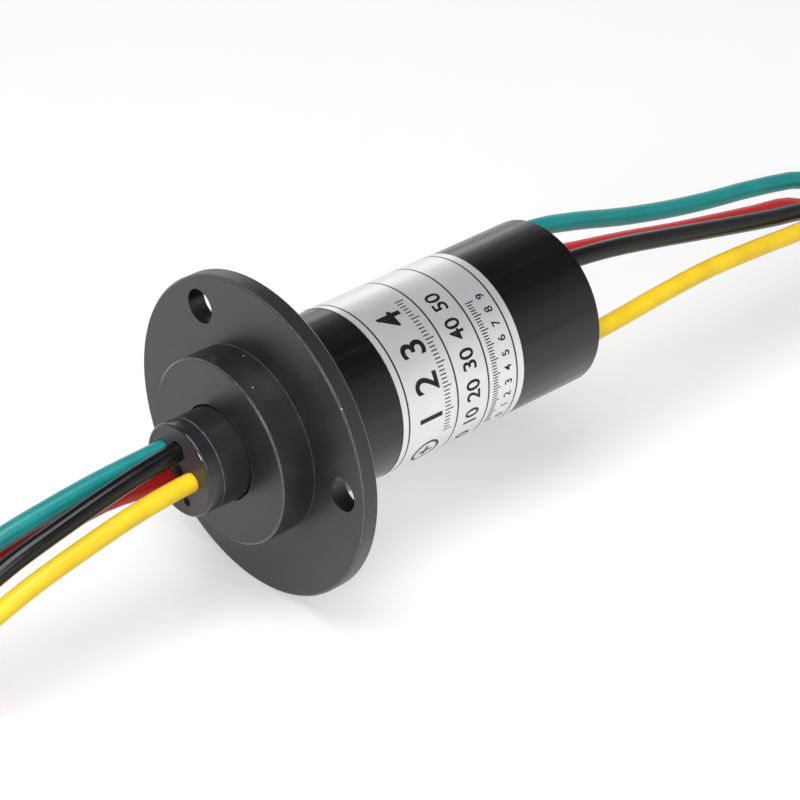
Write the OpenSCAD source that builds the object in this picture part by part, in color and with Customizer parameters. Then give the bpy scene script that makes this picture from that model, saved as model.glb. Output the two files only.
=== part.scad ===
// Flanged capsule slip ring: a rotor with four contact rings turns on two ball
// bearings inside a barrel, and four leads leave it at each end.
// X is the axis of rotation. The origin is the centre of the flange's front face,
// the rotor's nub points to -X, and +Z is up. Units are millimetres.

/* [Front cover] */
// Outside diameter of the mounting flange
flange_d = 56; // [54:0.5:64]
// Thickness of the mounting flange
flange_t = 3.2; // [2:0.1:4]
// Diameter of the round boss in front of the flange
boss_d = 32.4; // [26:0.2:36]
// How far the boss stands in front of the flange
boss_len = 6.5; // [6:0.1:9]
// Diameter of the mouth that the nub comes out of
mouth_d = 16.8; // [16.4:0.1:17.4]
// Length of the lip between the mouth and the bearing
lip_len = 2; // [1.4:0.1:2.6]
// Length of the spigot that carries the barrel
spigot_len = 6; // [4:0.5:7]
// Wall of the spigot
spigot_wall = 1.8; // [1.2:0.1:2.4]
// Bevel on the outside edges of flange and boss
cover_bevel = 0.35; // [0.1:0.05:0.6]

/* [Fixing holes] */
// Number of fixing holes in the flange
bolt_count = 3; // [2:1:6]
// Diameter of the circle through the fixing holes
bolt_circle_d = 45.6; // [43:0.2:48]
// Diameter of one fixing hole
bolt_hole_d = 6; // [3:0.1:7]
// Angle of the first fixing hole, from +Y towards +Z
bolt_start = 59; // [0:1:120]

/* [Barrel and rear cap] */
// Outside diameter of the barrel
barrel_d = 30; // [29.6:0.1:34]
// Wall of the barrel
barrel_wall = 1.2; // [0.8:0.1:1.4]
// Length of the barrel behind the flange
barrel_len = 62; // [61.5:0.1:70]
// How deep the rear cap lies inside the barrel's end
cap_recess = 0.5; // [0.2:0.1:1.5]
// Thickness of the rear cap
cap_t = 7; // [6:0.1:8]
// Bevel on the barrel's rear edge
barrel_bevel = 0.3; // [0.1:0.05:0.5]

/* [Rating label] */
// Distance from the flange's front face to the label
label_x = 20; // [5:0.1:30]
// Width of the label along the barrel
label_w = 27; // [10:0.1:30]
// Thickness of the label
label_t = 0.12; // [0.08:0.01:0.3]

/* [Nub] */
// Diameter of the rotor's nub
nub_d = 16.1; // [15:0.1:16.2]
// How far the nub stands in front of the boss
nub_len = 8.2; // [7:0.1:12]
// Length of the collar at the nub's end
collar_len = 2.9; // [2.6:0.1:3.6]
// Diameter of the end plug that the leads pass through
plug_d = 14.8; // [14.2:0.1:14.9]
// Rounding of the collar's front edge
collar_round = 0.5; // [0.2:0.05:0.55]
// Diameter of the small filling hole in the end plug's middle
fill_hole_d = 2.2; // [1:0.1:2.6]
// Diameter of the vent hole near the end plug's edge
vent_hole_d = 1.6; // [0.8:0.1:1.8]

/* [Front bearing] */
// Bore of the front bearing
front_bore_d = 12; // [11.6:0.1:12.2]
// Outside diameter of the front bearing
front_bearing_d = 18; // [17.6:0.1:19]
// Width of the front bearing
front_bearing_w = 4; // [3.6:0.1:4.4]
// Number of balls in the front bearing
front_balls = 14; // [8:1:15]

/* [Rear bearing] */
// Bore of the rear bearing
rear_bore_d = 10; // [9.4:0.1:10.4]
// Outside diameter of the rear bearing
rear_bearing_d = 15; // [14:0.1:15.2]
// Width of the rear bearing
rear_bearing_w = 4; // [3.6:0.1:4.4]
// Number of balls in the rear bearing
rear_balls = 13; // [8:1:14]

/* [Contact rings] */
// Outside diameter of a contact ring
ring_d = 17.4; // [16.8:0.1:18]
// Width of a contact ring
ring_w = 5; // [4:0.1:5.4]
// Depth of the two brush grooves in a contact ring
groove_depth = 0.4; // [0.2:0.05:0.6]
// Distance between the two brush grooves
groove_pitch = 2.2; // [1.8:0.1:2.6]
// Outside diameter of an insulating barrier
barrier_d = 19.2; // [18:0.1:19.6]
// Thickness of an insulating barrier
barrier_t = 3; // [2:0.1:3.2]

/* [Brushes] */
// Diameter of a brush wire
brush_d = 0.4; // [0.3:0.05:0.5]
// Thickness of a brush board
board_t = 1.2; // [0.8:0.1:1.6]
// Width of a brush board
board_w = 11.6; // [10.4:0.2:11.8]
// Thickness of a ring that holds the brush boards
board_ring_t = 2; // [1.2:0.1:2.6]

/* [Leads] */
// Outside diameter of a lead
lead_d = 3.3; // [2.8:0.05:3.4]
// Diameter of a lead's bare conductor
conductor_d = 1.6; // [1.2:0.1:2]

/* [Hidden] */
$fn = 96;

// Clearances
FIT = 0.02;         // a piece pressed or glued on another
SPIGOT_GAP = 0.03;  // spigot and cap inside the barrel
RUN_GAP = 0.1;      // brush wire over its groove
LEAD_GAP = 0.05;    // lead in its hole, at the radius
SOLDER_GAP = 0.5;   // middle of a conductor's end below its board
SPIGOT_ROOM = 1.5;  // brush boards behind the spigot
SOLDER_ROOM = 2.6;  // rear cap behind the brush boards
BOARD_REAR = 4.5;   // length of a brush board behind the stack
SHOULDER = 1.0;     // height of the shoulder behind the front bearing
RACE_SHARE = 1 / 3; // share of a bearing's section in each race
BALL_SHARE = 0.28;  // ball radius as a share of the section
BALL_GAP = 0.05;    // ball in its groove and its cage
SHIELD_T = 0.2;     // thickness of a bearing shield
CIRCLIP_T = 0.8;    // thickness of a circlip
CIRCLIP_DEEP = 0.6; // depth of a circlip's groove
RINGS = 4;          // contact rings, one for each lead

// Places along the axis
boss_x = -boss_len;
bearing_x = boss_x + lip_len;
bearing_end = bearing_x + front_bearing_w;
nub_x = boss_x - nub_len;
collar_end = nub_x + collar_len;
plug_t = collar_len - 0.4;
plug_end = nub_x + plug_t;
potting_end = collar_end + 2.8;
barrel_x = flange_t;
barrel_end = barrel_x + barrel_len;
cap_end = barrel_end - cap_recess;
cap_x = cap_end - cap_t;
rear_bearing_x = cap_x + 0.2;
rear_bearing_end = rear_bearing_x + rear_bearing_w;
spacer_x = bearing_end + CIRCLIP_T;
board_x = flange_t + spigot_len + SPIGOT_ROOM;
board_end = cap_x - SOLDER_ROOM;
stack_pitch = ring_w + barrier_t;
stack_end = board_end - BOARD_REAR;
stack_x = stack_end - RINGS * stack_pitch - barrier_t;
nut_t = 3;

// Radii
flange_r = flange_d / 2;
boss_r = boss_d / 2;
mouth_r = mouth_d / 2;
barrel_r = barrel_d / 2;
bore_r = barrel_r - barrel_wall;
spigot_r = bore_r - SPIGOT_GAP;
cavity_r = spigot_r - spigot_wall;
nub_r = nub_d / 2;
plug_r = plug_d / 2;
potting_r = plug_r - 0.5;
front_seat_r = front_bearing_d / 2 + 0.01;
front_journal_r = front_bore_d / 2 - 0.005;
rear_seat_r = rear_bearing_d / 2 + 0.01;
rear_journal_r = rear_bore_d / 2 - 0.005;
core_r = front_journal_r;
ring_r = ring_d / 2;
barrier_r = barrier_d / 2;
lead_r = lead_d / 2;
conductor_r = conductor_d / 2;
lead_hole_r = lead_r + LEAD_GAP;
inner_lead_r = lead_r * 1.49;
wire_bore_r = inner_lead_r + lead_hole_r + 0.25;
board_z = barrier_r + 1.6;
board_ring_in = barrier_r + 0.6;
brush_r = brush_d / 2;
brush_reach = ring_r - groove_depth + brush_r + RUN_GAP;

// Where the leads leave the end plug and the rear cap, as [y, z]
front_exits = [[3.9, 2.3], [0.2, 3.7], [2.2, -2.7], [-3.3, -0.5]];
rear_exits = [[8.1, 8.3], [-5.4, 10], [-1.3, 9.2], [-11.3, -2.1]];
// Where each rear lead's conductor is soldered, as [y, side of the boards]
pads = [[4.6, 1], [-4.4, 1], [-0.9, 1], [-4.8, -1]];
vent = [-1.8, -5];

// The leads' routes after their exits: green, black, red, yellow
front_routes = [
    [[-18, 4.1, 2], [-27, 4.8, 1.1], [-37, 5.5, -0.4], [-47, 6.2, -2.5],
     [-57, 7, -6.6], [-68, 9.6, -12.5], [-81, 15.1, -19], [-94.2, 22.3, -22.7]],
    [[-18, 0.2, 3.3], [-27, 0.2, 1.9], [-37, 0.2, -0.2], [-47, 0.2, -2.6],
     [-57, 1.1, -6.8], [-68, 4.4, -12.8], [-81.5, 11.2, -19], [-95.9, 19.3, -22.7]],
    [[-18, 2.5, -2.4], [-27, 3.7, -2.3], [-37, 4.9, -4.2], [-47, 6.1, -6.9],
     [-57, 6.6, -11.4], [-68, 9.3, -17.3], [-81, 15.1, -23.5], [-94.2, 22.3, -26.2]],
    [[-18, -3.3, -0.6], [-27, -3.3, -1.6], [-37, -3.3, -3.5], [-47, -3.3, -5.8],
     [-57, -1.8, -10.5], [-68, 3, -17], [-81.5, 10.6, -23.2], [-95.9, 19.3, -26.2]]];
rear_routes = [
    [[71, 8, 8.9], [81, 7.7, 6.8], [92, 7.4, 3.7], [103, 7, 1.2], [114, 6.7, -0.8],
     [127, 6.4, -2.7], [141, 5.3, -5.6], [153, 0.2, -11.6], [164.5, -7.4, -18.2],
     [175.7, -17.1, -22.7]],
    [[76, -5.4, 8.6], [86, -5.4, 6.5], [97, -5.4, 3.9], [108, -5.4, 1.3],
     [119, -5.4, -1.2], [128, -5.3, -3.1], [141, -5.5, -7.6], [152, -7.2, -13.2],
     [163, -11.6, -19], [173.5, -19.7, -22.7]],
    [[74, -1.3, 7.6], [85, -1.3, 5.3], [96, -1.3, 2.7], [107, -1.3, 0.4],
     [118, -1.3, -1.8], [128, -1.3, -3.8], [141, -1.4, -10.4], [153, -4, -17.2],
     [164.5, -9, -23], [175.7, -17.1, -26.2]],
    [[75, -11, -1.8], [86, -10.7, -1.3], [97, -10.3, -1.3], [108, -10, -2],
     [118, -9.7, -3], [128, -9.4, -4.3], [141, -9.3, -10.4], [152, -10.2, -17.4],
     [163, -13.2, -23.2], [173.5, -19.7, -26.2]]];

// The coils: centre, the radius of the bundle at its start and what its turns take
front_coil_at = [-107, 0];
rear_coil_at = [190, 0];
coil_r = 24;
coil_turn_pitch = 7;
front_turns = 1.4;
rear_turns = 1.1;
lead_pitch = 3.4;
floor_z = -28;

// A piece turned about the axis, from its outline as [x, radius] points
module turned(outline)
    rotate([0, 90, 0])
        rotate_extrude()
            polygon([for (p = outline) [p[1], p[0]]]);

// A plain turned tube from x0 to x1
module sleeve(x0, x1, r_in, r_out)
    turned([[x0, r_in], [x1, r_in], [x1, r_out], [x0, r_out]]);

// A rod along the axis at [y, z]
module rod(x0, x1, at, r)
    translate([x0, at[0], at[1]])
        rotate([0, 90, 0])
            cylinder(h = x1 - x0, r = r);

// A rod between two [y, z] places at one x
module cross_rod(x, from, to, r) {
    way = to - from;
    translate([x, from[0], from[1]])
        rotate([-atan2(way[0], way[1]), 0, 0])
            cylinder(h = norm(way), r = r);
}

// Ball bearings
function section(bore_d, out_d) = (out_d - bore_d) / 2;
function pitch_r(bore_d, out_d) = (out_d + bore_d) / 4;
function ball_r(bore_d, out_d) = section(bore_d, out_d) * BALL_SHARE;
function inner_race_r(bore_d, out_d) = bore_d / 2 + section(bore_d, out_d) * RACE_SHARE;
function outer_race_r(bore_d, out_d) = out_d / 2 - section(bore_d, out_d) * RACE_SHARE;

module ball_groove(x, bore_d, out_d)
    translate([x, 0, 0])
        rotate([0, 90, 0])
            rotate_extrude()
                translate([pitch_r(bore_d, out_d), 0])
                    circle(r = ball_r(bore_d, out_d) + BALL_GAP);

module outer_race(x, bore_d, out_d, w)
    color("silver")
        difference() {
            sleeve(x, x + w, outer_race_r(bore_d, out_d), out_d / 2);
            ball_groove(x + w / 2, bore_d, out_d);
        }

module inner_race(x, bore_d, out_d, w)
    color("silver")
        difference() {
            sleeve(x, x + w, bore_d / 2, inner_race_r(bore_d, out_d));
            ball_groove(x + w / 2, bore_d, out_d);
        }

module place_balls(x, bore_d, out_d, count)
    for (k = [0 : count - 1])
        rotate([k * 360 / count, 0, 0])
            translate([x, 0, pitch_r(bore_d, out_d)])
                children();

module balls(x, bore_d, out_d, w, count)
    color("gainsboro")
        place_balls(x + w / 2, bore_d, out_d, count)
            sphere(r = ball_r(bore_d, out_d));

module cage(x, bore_d, out_d, w, count)
    color("peru")
        difference() {
            sleeve(x + w / 2 - 0.2, x + w / 2 + ball_r(bore_d, out_d) + 0.45,
                inner_race_r(bore_d, out_d) + 0.15, outer_race_r(bore_d, out_d) - 0.15);
            place_balls(x + w / 2, bore_d, out_d, count)
                sphere(r = ball_r(bore_d, out_d) + BALL_GAP);
        }

module shields(x, bore_d, out_d, w)
    color("dimgray")
        for (side = [x, x + w - SHIELD_T])
            sleeve(side, side + SHIELD_T,
                inner_race_r(bore_d, out_d) + 0.15, outer_race_r(bore_d, out_d) - FIT / 2);

// The stator's shells
module front_cover()
    color([0.22, 0.22, 0.23])
        difference() {
            turned([
                [boss_x, mouth_r], [boss_x, boss_r - cover_bevel],
                [boss_x + cover_bevel, boss_r], [0, boss_r],
                [0, flange_r - cover_bevel], [cover_bevel, flange_r],
                [flange_t - cover_bevel, flange_r], [flange_t, flange_r - cover_bevel],
                [flange_t, spigot_r], [flange_t + spigot_len, spigot_r],
                [flange_t + spigot_len, cavity_r], [bearing_end + 2, cavity_r],
                [bearing_end + 2, front_seat_r], [bearing_end + CIRCLIP_T, front_seat_r],
                [bearing_end + CIRCLIP_T, front_seat_r + CIRCLIP_DEEP],
                [bearing_end, front_seat_r + CIRCLIP_DEEP],
                [bearing_end, front_seat_r], [bearing_x, front_seat_r],
                [bearing_x, mouth_r]]);
            for (k = [0 : bolt_count - 1])
                rotate([bolt_start + k * 360 / bolt_count, 0, 0])
                    rod(-1, flange_t + 1, [bolt_circle_d / 2, 0], bolt_hole_d / 2);
        }

module barrel()
    color([0.09, 0.09, 0.1])
        turned([
            [barrel_x, bore_r], [barrel_end, bore_r],
            [barrel_end, barrel_r - barrel_bevel],
            [barrel_end - barrel_bevel, barrel_r], [barrel_x, barrel_r]]);

module rear_cap()
    color([0.12, 0.12, 0.13])
        difference() {
            turned([
                [cap_x, rear_seat_r], [cap_x, spigot_r], [cap_end, spigot_r],
                [cap_end, 0], [rear_bearing_end + 0.7, 0],
                [rear_bearing_end + 0.7, rear_seat_r]]);
            for (e = rear_exits)
                rod(cap_x - 1, cap_end + 1, e, lead_hole_r);
        }

module rating_label()
    color([0.78, 0.78, 0.79])
        sleeve(label_x, label_x + label_w, barrel_r + FIT / 2, barrel_r + label_t);

// The bearings and what holds them
module front_bearing_outer() outer_race(bearing_x, front_bore_d, front_bearing_d, front_bearing_w);
module front_bearing_inner() inner_race(bearing_x, front_bore_d, front_bearing_d, front_bearing_w);
module front_bearing_balls()
    balls(bearing_x, front_bore_d, front_bearing_d, front_bearing_w, front_balls);
module front_bearing_cage()
    cage(bearing_x, front_bore_d, front_bearing_d, front_bearing_w, front_balls);
module front_bearing_shields() shields(bearing_x, front_bore_d, front_bearing_d, front_bearing_w);
module rear_bearing_outer() outer_race(rear_bearing_x, rear_bore_d, rear_bearing_d, rear_bearing_w);
module rear_bearing_inner() inner_race(rear_bearing_x, rear_bore_d, rear_bearing_d, rear_bearing_w);
module rear_bearing_balls()
    balls(rear_bearing_x, rear_bore_d, rear_bearing_d, rear_bearing_w, rear_balls);
module rear_bearing_cage()
    cage(rear_bearing_x, rear_bore_d, rear_bearing_d, rear_bearing_w, rear_balls);
module rear_bearing_shields() shields(rear_bearing_x, rear_bore_d, rear_bearing_d, rear_bearing_w);

module preload_washer()
    color("lightsteelblue")
        sleeve(rear_bearing_end + 0.1, rear_bearing_end + 0.6,
            outer_race_r(rear_bore_d, rear_bearing_d) + 0.1, rear_bearing_d / 2 - 0.05);

module cover_circlip()
    color("dimgray")
        difference() {
            sleeve(bearing_end + 0.05, bearing_end + CIRCLIP_T - 0.05,
                front_seat_r - 0.7, front_seat_r + CIRCLIP_DEEP - 0.05);
            rod(bearing_end, bearing_end + CIRCLIP_T, [0, front_seat_r], 1.6);
        }

module shaft_circlip()
    color("dimgray")
        difference() {
            sleeve(bearing_end + 0.05, bearing_end + CIRCLIP_T - 0.05,
                front_journal_r - CIRCLIP_DEEP + 0.05, front_journal_r + 0.8);
            rod(bearing_end, bearing_end + CIRCLIP_T, [0, -front_journal_r], 1.6);
        }

// The rotor
module rotor_shaft()
    color([0.2, 0.2, 0.21])
        difference() {
            turned([
                [collar_end, potting_r], [collar_end, nub_r],
                [bearing_x - 0.5, nub_r], [bearing_x - 0.5, front_journal_r + SHOULDER],
                [bearing_x, front_journal_r + SHOULDER], [bearing_x, front_journal_r],
                [bearing_end, front_journal_r], [bearing_end, front_journal_r - CIRCLIP_DEEP],
                [spacer_x, front_journal_r - CIRCLIP_DEEP], [spacer_x, core_r],
                [rear_bearing_x - 0.4, core_r], [rear_bearing_x, core_r - 0.2],
                [rear_bearing_x, rear_journal_r], [rear_bearing_end, rear_journal_r],
                [rear_bearing_end, 0], [stack_end - 2, 0], [stack_end - 2, wire_bore_r],
                [potting_end, wire_bore_r], [potting_end, potting_r]]);
            for (k = [0 : RINGS - 1])
                rotate([45 + 90 * k, 0, 0])
                    translate([ring_mid(k), 0, 0])
                        cylinder(h = core_r + 1, r = conductor_r + LEAD_GAP);
        }

module shaft_collar()
    color([0.2, 0.2, 0.21])
        turned(concat(
            [[collar_end, potting_r - 0.5], [collar_end, nub_r]],
            [for (a = [0 : 15 : 90])
                [nub_x + collar_round * (1 - sin(a)), nub_r - collar_round * (1 - cos(a))]],
            [[nub_x, plug_r + FIT], [plug_end, plug_r + FIT], [plug_end, potting_r - 0.5]]));

module lead_plug()
    color([0.3, 0.29, 0.29])
        difference() {
            sleeve(nub_x + 0.05, plug_end, 0, plug_r);
            for (e = front_exits)
                rod(nub_x - 1, plug_end + 1, e, lead_hole_r);
            rod(nub_x - 1, plug_end + 1, [0, 0], fill_hole_d / 2);
            rod(nub_x - 1, plug_end + 1, vent, vent_hole_d / 2);
        }

module nub_potting()
    color([0.1, 0.1, 0.1])
        turned([
            [plug_end, 0], [plug_end, potting_r - 0.5 - FIT],
            [collar_end, potting_r - 0.5 - FIT], [collar_end, potting_r - FIT],
            [potting_end, potting_r - FIT], [potting_end, 0]]);

module stack_spacer()
    color("whitesmoke")
        sleeve(spacer_x, stack_x, core_r + FIT, core_r + 1.6);

module stack_nut()
    color("darkgray")
        intersection() {
            sleeve(stack_end, stack_end + nut_t, core_r + FIT, ring_r + 1);
            rod(stack_end, stack_end + nut_t, [0, 0], ring_r, $fn = 6);
        }

// The contact rings and the barriers between them
function ring_x(k) = stack_x + barrier_t + k * stack_pitch;
function ring_mid(k) = ring_x(k) + ring_w / 2;

module contact_ring(k) {
    floor_r = ring_r - groove_depth;
    x1 = ring_mid(k) - groove_pitch / 2;
    x2 = ring_mid(k) + groove_pitch / 2;
    color("gold")
        turned([
            [ring_x(k), core_r + FIT], [ring_x(k), ring_r],
            [x1 - 0.6, ring_r], [x1 - 0.4, floor_r], [x1 + 0.4, floor_r], [x1 + 0.6, ring_r],
            [x2 - 0.6, ring_r], [x2 - 0.4, floor_r], [x2 + 0.4, floor_r], [x2 + 0.6, ring_r],
            [ring_x(k) + ring_w, ring_r], [ring_x(k) + ring_w, core_r + FIT]]);
}

module barrier(k)
    color("ivory")
        sleeve(stack_x + k * stack_pitch, stack_x + k * stack_pitch + barrier_t,
            core_r + FIT, barrier_r);

module contact_ring_1() contact_ring(0);
module contact_ring_2() contact_ring(1);
module contact_ring_3() contact_ring(2);
module contact_ring_4() contact_ring(3);
module barrier_1() barrier(0);
module barrier_2() barrier(1);
module barrier_3() barrier(2);
module barrier_4() barrier(3);
module barrier_5() barrier(4);

// The brush gear
module brush_board()
    color("darkgreen")
        translate([board_x, -board_w / 2, board_z])
            cube([board_end - board_x, board_w, board_t]);

// Brush wires lean on the rings as tangents, a pair in each groove
module brushes() {
    root = [board_w / 2 - 1.2, board_z];
    lean = atan2(root[1], root[0]) - acos(brush_reach / norm(root));
    reach = sqrt(pow(norm(root), 2) - pow(brush_reach, 2)) + 2;
    color("khaki")
        for (k = [0 : RINGS - 1], side = [0, 1], groove = [-1, 1])
            mirror([0, side, 0])
                translate([ring_mid(k) + groove * groove_pitch / 2, root[0], root[1]])
                    rotate([180 + lean, 0, 0])
                        cylinder(h = reach, r = brush_r);
}

module upper_brush_board() brush_board();
module lower_brush_board() mirror([0, 0, 1]) brush_board();
module upper_brushes() brushes();
module lower_brushes() mirror([0, 0, 1]) brushes();

module board_ring(x)
    color("ivory")
        difference() {
            sleeve(x, x + board_ring_t, board_ring_in, spigot_r);
            for (side = [0, 1])
                mirror([0, 0, side])
                    translate([x - 1, -board_w / 2 - FIT, board_z - FIT])
                        cube([board_ring_t + 2, board_w + 2 * FIT, board_t + 2 * FIT]);
        }

module front_board_ring() board_ring(board_x + 0.5);
module rear_board_ring() board_ring(stack_end - 0.5);

// The leads inside
module rotor_inner_leads()
    color("dimgray")
        for (k = [0 : RINGS - 1])
            rotate([45 + 90 * k, 0, 0]) {
                rod(potting_end, ring_mid(k) + 1.2, [0, inner_lead_r], lead_r);
                translate([ring_mid(k), 0, inner_lead_r])
                    cylinder(h = core_r - inner_lead_r, r = conductor_r);
            }

module stator_inner_leads()
    color("dimgray")
        for (k = [0 : RINGS - 1]) {
            pad = [pads[k][0], pads[k][1] * (board_z - SOLDER_GAP)];
            rod(board_end + 0.4, cap_x, rear_exits[k], lead_r);
            rod(board_end - 1, board_end + 0.4, rear_exits[k], conductor_r / 2);
            cross_rod(board_end - 1 + conductor_r / 2, rear_exits[k], pad, conductor_r / 2);
        }

// A lead outside: one tube along its route
function unit(v) = v / norm(v);
function heading(route, i) =
    unit(route[min(i + 1, len(route) - 1)] - route[max(i - 1, 0)]);
function hoop(centre, way, r, sides) =
    let (across = unit(cross(way, [0, 0, 1])), up = cross(across, way))
    [for (s = [0 : sides - 1])
        centre + r * (cos(360 * s / sides) * across + sin(360 * s / sides) * up)];

module lead(route, sides = 8) {
    count = len(route);
    points = [for (i = [0 : count - 1]) each hoop(route[i], heading(route, i), lead_r, sides)];
    walls = [for (i = [0 : count - 2], s = [0 : sides - 1])
        [i * sides + s, i * sides + (s + 1) % sides,
         (i + 1) * sides + (s + 1) % sides, (i + 1) * sides + s]];
    start = [for (s = [0 : sides - 1]) sides - 1 - s];
    end = [for (s = [0 : sides - 1]) (count - 1) * sides + s];
    polyhedron(points, concat([start], walls, [end]));
}

module front_lead(k) {
    e = front_exits[k];
    lead(concat([[plug_end, e[0], e[1]]], front_routes[k]));
}

module rear_lead(k) {
    e = rear_exits[k];
    lead(concat([[cap_x, e[0], e[1]], [barrel_end + 0.4, e[0], e[1]]], rear_routes[k]));
}

module front_lead_green() color("teal") front_lead(0);
module front_lead_black() color([0.1, 0.1, 0.1]) front_lead(1);
module front_lead_red() color("crimson") front_lead(2);
module front_lead_yellow() color("gold") front_lead(3);
module rear_lead_green() color("teal") rear_lead(0);
module rear_lead_black() color([0.1, 0.1, 0.1]) rear_lead(1);
module rear_lead_red() color("crimson") rear_lead(2);
module rear_lead_yellow() color("gold") rear_lead(3);

// The outer shape of a coil of four leads, two wide and two high
module coil(at, turns) {
    r_out = coil_r + lead_pitch / 2 + lead_r + 0.1;
    r_in = coil_r - turns * coil_turn_pitch - lead_pitch / 2 - lead_r;
    height = lead_pitch + lead_d + 0.4;
    translate([at[0], at[1], floor_z])
        rotate_extrude()
            polygon([
                [r_in, 0], [r_out, 0], [r_out, height], [r_in, height]]);
}

module front_coil() color([0.3, 0.4, 0.35]) coil(front_coil_at, front_turns);
module rear_coil() color([0.3, 0.4, 0.35]) coil(rear_coil_at, rear_turns);

front_cover();
barrel();
rear_cap();
rating_label();
front_bearing_outer();
front_bearing_inner();
front_bearing_balls();
front_bearing_cage();
front_bearing_shields();
rear_bearing_outer();
rear_bearing_inner();
rear_bearing_balls();
rear_bearing_cage();
rear_bearing_shields();
preload_washer();
cover_circlip();
shaft_circlip();
rotor_shaft();
shaft_collar();
lead_plug();
nub_potting();
stack_spacer();
stack_nut();
contact_ring_1();
contact_ring_2();
contact_ring_3();
contact_ring_4();
barrier_1();
barrier_2();
barrier_3();
barrier_4();
barrier_5();
upper_brush_board();
lower_brush_board();
upper_brushes();
lower_brushes();
front_board_ring();
rear_board_ring();
rotor_inner_leads();
stator_inner_leads();
front_lead_green();
front_lead_black();
front_lead_red();
front_lead_yellow();
rear_lead_green();
rear_lead_black();
rear_lead_red();
rear_lead_yellow();
front_coil();
rear_coil();
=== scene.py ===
"""Dresses a flanged four-lead slip ring: leads, finishes, label print, floor and lights.

X is the axis of rotation, the rotor's nub points to -X and +Z is up.
"""

import math

import bmesh
import bpy
from bpy.props import FloatProperty, FloatVectorProperty, IntProperty, PointerProperty
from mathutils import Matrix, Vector


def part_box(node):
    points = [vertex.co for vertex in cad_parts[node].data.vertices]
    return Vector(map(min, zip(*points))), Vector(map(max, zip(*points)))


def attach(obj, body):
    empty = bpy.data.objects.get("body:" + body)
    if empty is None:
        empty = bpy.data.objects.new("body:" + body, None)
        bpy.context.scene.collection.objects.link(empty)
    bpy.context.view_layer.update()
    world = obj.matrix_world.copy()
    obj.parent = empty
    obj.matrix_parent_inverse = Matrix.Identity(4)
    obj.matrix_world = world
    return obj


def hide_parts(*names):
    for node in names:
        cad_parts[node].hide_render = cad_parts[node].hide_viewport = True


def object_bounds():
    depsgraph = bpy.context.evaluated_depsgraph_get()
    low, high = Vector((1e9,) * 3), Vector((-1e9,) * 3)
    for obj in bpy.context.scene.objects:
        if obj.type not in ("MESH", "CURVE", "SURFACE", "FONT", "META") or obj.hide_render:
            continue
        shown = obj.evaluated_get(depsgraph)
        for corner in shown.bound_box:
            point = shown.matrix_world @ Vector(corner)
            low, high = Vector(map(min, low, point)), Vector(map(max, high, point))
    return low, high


bl_info = {
    "name": "Slip Ring Dresser",
    "version": (1, 0, 0),
    "blender": (4, 5, 0),
    "location": "3D View > Sidebar > Slip Ring",
    "description": "Leads, finishes, label print and studio for a flanged slip ring",
    "category": "Object",
}

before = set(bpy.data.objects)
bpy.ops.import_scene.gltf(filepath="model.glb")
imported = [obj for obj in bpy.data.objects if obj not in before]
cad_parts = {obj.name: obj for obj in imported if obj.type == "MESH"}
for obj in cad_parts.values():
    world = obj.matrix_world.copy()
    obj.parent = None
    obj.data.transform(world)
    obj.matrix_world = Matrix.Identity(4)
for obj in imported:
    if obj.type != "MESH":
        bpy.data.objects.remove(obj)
CAD_BOX = [list(corner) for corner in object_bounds()]

MM = 0.001
STEPS = 3           # points on each stretch of a route
COIL_STEPS = 48     # points on each turn of a coil
TIE_TURN = 0.07     # turns from a coil's start to its band of tape
TAPE = 0.00012      # thickness of the tape
LAYER = 0.0017      # about half the spacing of two leads side by side in a coil
LIFT = 0.00002      # how far a band of tape clears the floor
WRAP_STEP = 0.0004  # width of the strips that a flat print is bent in

# Each lead's colour and the roughness of its insulation
COLOURS = {"green": 0.34, "black": 0.22, "red": 0.34, "yellow": 0.38}

# Places on the construction model that a finish follows, in millimetres
FLANGE_FACE = 0.0
FLANGE_BACK = 3.2
BOSS_RADIUS = 16.2
MOUTH_RADIUS = 8.4   # the opening that the nub turns in
BEVEL_MIDDLE = 0.17  # from an edge of the cover to the middle of its bevel
HOLE_CIRCLE = 22.8   # radius of the circle that the fixing holes stand on
HOLE_RADIUS = 3.0
FIRST_HOLE = 59      # angle of the first fixing hole, in degrees
HOLES = 3
NUB_STEP = 2.9       # from the nub's end to the line behind its collar
NUB_RADIUS = 8.05

# The leads' routes in millimetres, from the hole that each lead leaves by to its coil
FRONT_ROUTES = {
    "green": [(-12.2, 3.9, 2.3), (-18, 4.1, 2), (-27, 4.8, 1.1), (-37, 5.5, -0.4),
              (-47, 6.2, -2.5), (-57, 7, -6.6), (-68, 9.6, -12.5), (-81, 15.1, -19),
              (-94.2, 22.3, -22.7)],
    "black": [(-12.2, 0.2, 3.7), (-18, 0.2, 3.3), (-27, 0.2, 1.9), (-37, 0.2, -0.2),
              (-47, 0.2, -2.6), (-57, 1.1, -6.8), (-68, 4.4, -12.8), (-81.5, 11.2, -19),
              (-95.9, 19.3, -22.7)],
    "red": [(-12.2, 2.2, -2.7), (-18, 2.5, -2.4), (-27, 3.7, -2.3), (-37, 4.9, -4.2),
            (-47, 6.1, -6.9), (-57, 6.6, -11.4), (-68, 9.3, -17.3), (-81, 15.1, -23.5),
            (-94.2, 22.3, -26.2)],
    "yellow": [(-12.2, -3.3, -0.5), (-18, -3.3, -0.6), (-27, -3.3, -1.6), (-37, -3.3, -3.5),
               (-47, -3.3, -5.8), (-57, -1.8, -10.5), (-68, 3, -17), (-81.5, 10.6, -23.2),
               (-95.9, 19.3, -26.2)],
}
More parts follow.
